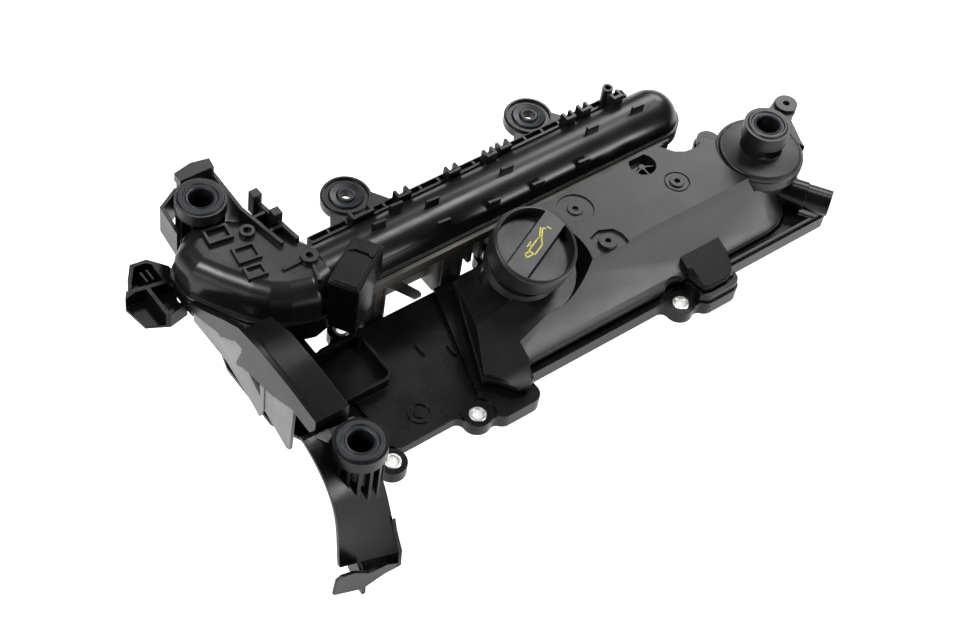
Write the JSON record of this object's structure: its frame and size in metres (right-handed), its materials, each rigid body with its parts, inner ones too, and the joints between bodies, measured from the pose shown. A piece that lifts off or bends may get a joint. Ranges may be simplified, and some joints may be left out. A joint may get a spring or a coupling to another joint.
{
  "type": "engine valve cover with intake plenum",
  "caption": "Moulded engine valve cover with oil separator, twist-off filler cap, pressure-control valve, intake plenum, inlet duct and styling-cover sockets.",
  "frame": {"origin": "middle of the front sealing land of the cylinder-head gasket face", "axes": "+X along the crankshaft towards the pressure-valve end, +Y from the outer bolt row to the intake side, +Z away from the cylinder head"},
  "size_m": [0.454, 0.26, 0.1216],
  "materials": {
    "black_nylon": "satin moulded glass-filled nylon",
    "cap_nylon": "fine-grained satin nylon with a pale yellow oil-can symbol",
    "weathered_nylon": "semi-matt grey-brown nylon",
    "grey_shield": "smooth light grey plastic",
    "natural_nylon": "natural nylon",
    "seal_rubber": "soft black rubber",
    "grommet_rubber": "satin blue-black rubber",
    "limiter_steel": "zinc-plated steel",
    "spring_steel": "bright spring steel"
  },
  "bodies": {
    "cover": {"baffle_plate": "black_nylon", "bolt_limiters": "limiter_steel", "breather_cover": "black_nylon", "cover_base": "black_nylon", "cover_gasket": "seal_rubber", "drain_valve": "seal_rubber", "eye_grommet_left": "grommet_rubber", "eye_grommet_right": "grommet_rubber", "grommet_front_left": "grommet_rubber", "grommet_rear_left": "grommet_rubber", "grommet_right": "grommet_rubber", "harness_block": "black_nylon", "inlet_duct_lower": "black_nylon", "inlet_duct_upper": "black_nylon", "intake_lower_shell": "weathered_nylon", "intake_upper_shell": "black_nylon", "outlet_pipe": "black_nylon", "pcv_cap": "black_nylon", "pcv_diaphragm": "seal_rubber", "pcv_spring": "spring_steel", "port_seals": "seal_rubber", "side_shield": "grey_shield", "wiring_bracket": "black_nylon"},
    "cap": {"oil_filler_cap": "cap_nylon", "cap_seal": "seal_rubber"},
    "valve": {"pcv_plate": "natural_nylon"}
  },
  "joints": [
    {"name": "cap_turn", "type": "hinge", "parent": "cover", "child": "cap", "pos_m": [-0.05, 0.04925, 0.0475], "axis": [0, -0.2756, 0.9613], "range_deg": [0, 90]},
    {"name": "valve_lift", "type": "slide", "parent": "cover", "child": "valve", "axis": [0, 0, 1], "range_m": [-0.003, 0], "stiffness_N_per_m": 60, "springref_m": 0.004, "deforming": ["pcv_spring", "pcv_diaphragm"]}
  ]
}
